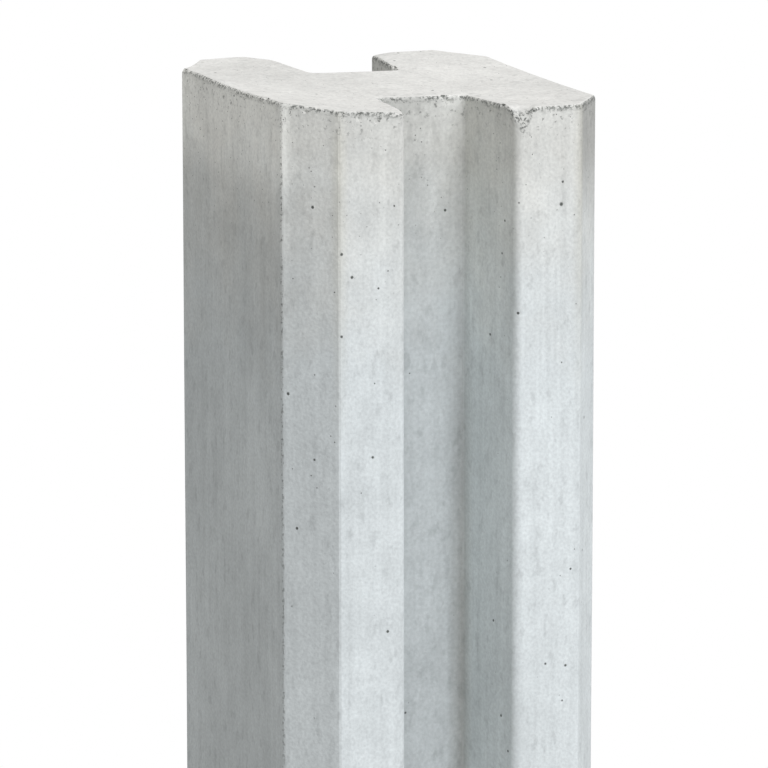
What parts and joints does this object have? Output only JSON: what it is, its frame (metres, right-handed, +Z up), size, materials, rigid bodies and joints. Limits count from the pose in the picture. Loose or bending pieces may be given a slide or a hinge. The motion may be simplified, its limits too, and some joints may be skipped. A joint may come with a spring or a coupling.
{
  "type": "slotted fence post",
  "caption": "Cast concrete intermediate fence post with a board slot down each of two opposite faces and bevelled outer corners.",
  "frame": {"origin": "middle of the foot, on the ground face", "axes": "+Z up along the post, slots open towards -Y and +Y, plain sides face -X and +X"},
  "size_m": [0.115, 0.115, 2.77],
  "materials": {
    "concrete": "matt cast concrete, pale grey, smooth off the mould with small air holes and a struck top end"
  },
  "bodies": {
    "root": {"fence_post": "concrete"}
  },
  "joints": []
}
